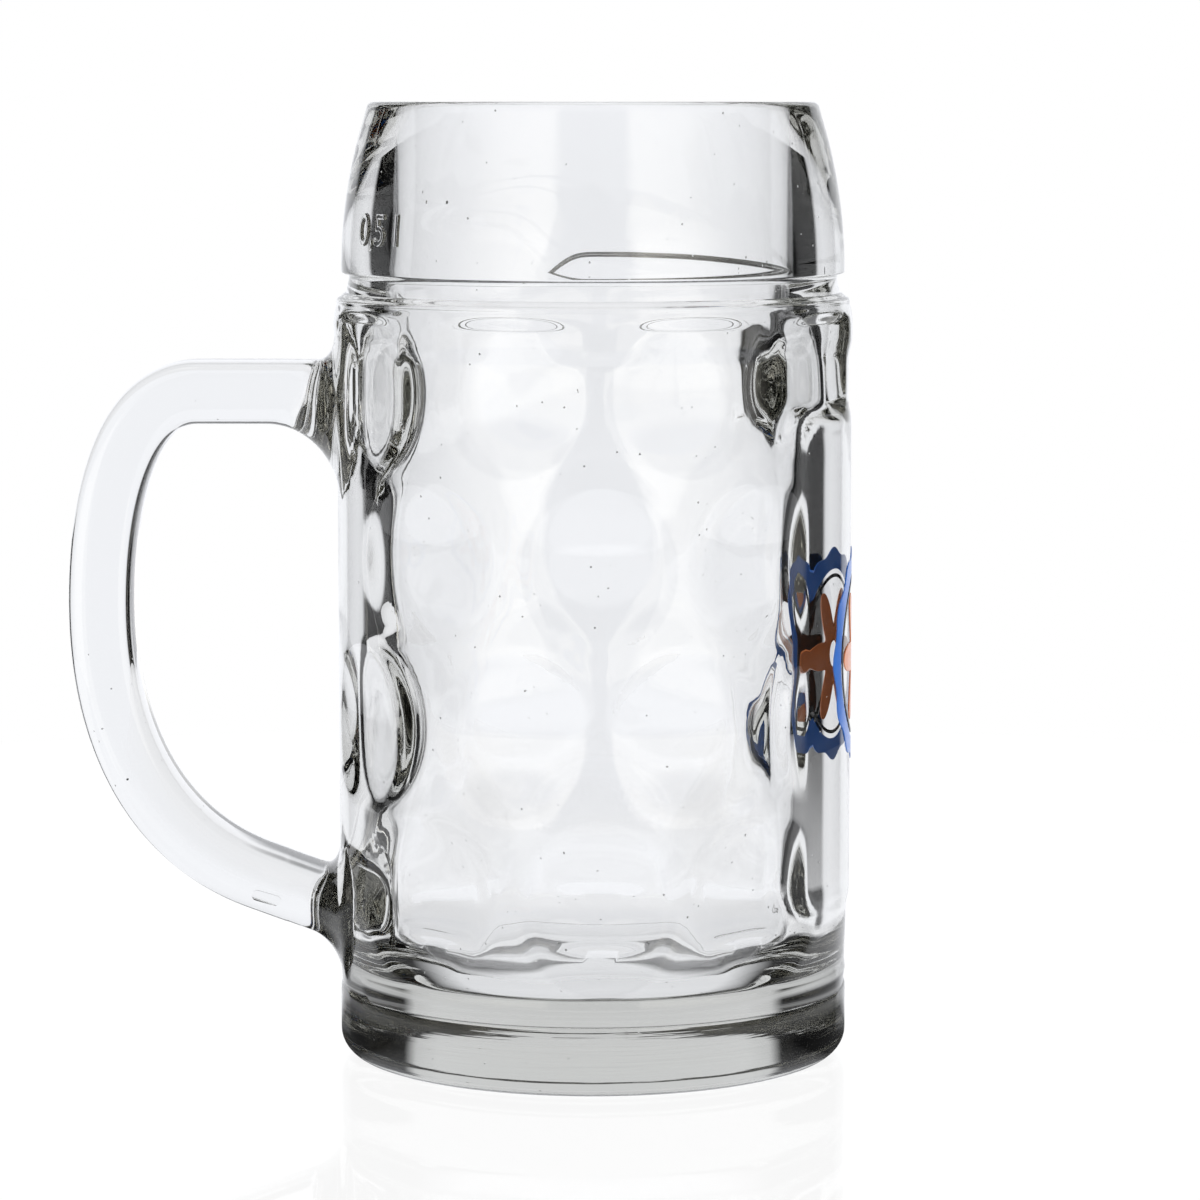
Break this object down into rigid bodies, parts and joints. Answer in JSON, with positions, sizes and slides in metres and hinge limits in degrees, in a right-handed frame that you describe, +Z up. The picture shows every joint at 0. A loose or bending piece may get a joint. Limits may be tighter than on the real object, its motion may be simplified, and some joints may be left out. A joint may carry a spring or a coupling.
{
  "type": "beer mug",
  "caption": "Straight-sided glass beer mug with rows of round hollows, a tapered drinking band, a thick base, a welded loop handle and a round enamel print on a smooth panel.",
  "frame": {"origin": "on the vessel's axis, in the plane that the mug stands on", "axes": "+Z up along the vessel's axis, the handle towards -X, the printed panel towards +X, +Y away from the picture's camera"},
  "size_m": [0.1314, 0.0868, 0.16],
  "materials": {
    "clear_glass": "clear, fire-polished",
    "blue_enamel": "fired enamel, glossy",
    "black_enamel": "fired enamel, glossy",
    "orange_enamel": "fired enamel, glossy"
  },
  "bodies": {
    "root": {"mug_body": "clear_glass", "handle": "clear_glass", "print_blue_ring": "blue_enamel", "print_black_line": "black_enamel", "print_rosette": "orange_enamel"}
  },
  "joints": []
}
